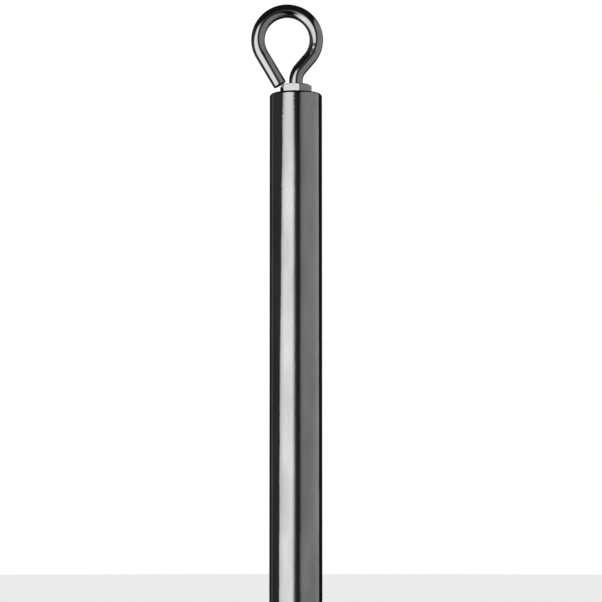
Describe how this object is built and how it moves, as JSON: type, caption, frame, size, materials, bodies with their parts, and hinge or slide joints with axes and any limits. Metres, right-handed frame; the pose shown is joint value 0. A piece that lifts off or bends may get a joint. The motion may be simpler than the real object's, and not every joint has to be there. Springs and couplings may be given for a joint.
{
  "type": "eye-ended rod",
  "caption": "Slim polished round rod with a bent wire hanging eye screwed into its top and locked by a thin hexagon nut",
  "frame": {"origin": "centre of the rod's bottom face", "axes": "+Z along the rod towards the eye; the eye lies in the XZ plane, with its free end on the -X side and its flat sides facing +Y and -Y"},
  "size_m": [0.0138, 0.01, 0.2175],
  "materials": {
    "rod_finish": "dark mirror polish",
    "plug_finish": "turned and polished",
    "nut_finish": "bright plated",
    "eye_finish": "dark mirror polish"
  },
  "bodies": {
    "rod": {"tube": "rod_finish", "top_plug": "plug_finish", "bottom_plug": "plug_finish"},
    "nut": {"lock_nut": "nut_finish"},
    "eye": {"eye": "eye_finish"}
  },
  "joints": [
    {"name": "nut_rise", "type": "slide", "parent": "rod", "child": "nut", "axis": [0, 0, 1], "range_m": [0, 0.007]},
    {"name": "eye_unscrew", "type": "hinge", "parent": "nut", "child": "eye", "pos_m": [0, 0, 0.2], "axis": [0, 0, 1], "range_deg": [0, 5040]}
  ],
  "couplings": [
    {"joint": "eye_unscrew", "follows": "nut_rise", "rad_per_m": 12566}
  ]
}
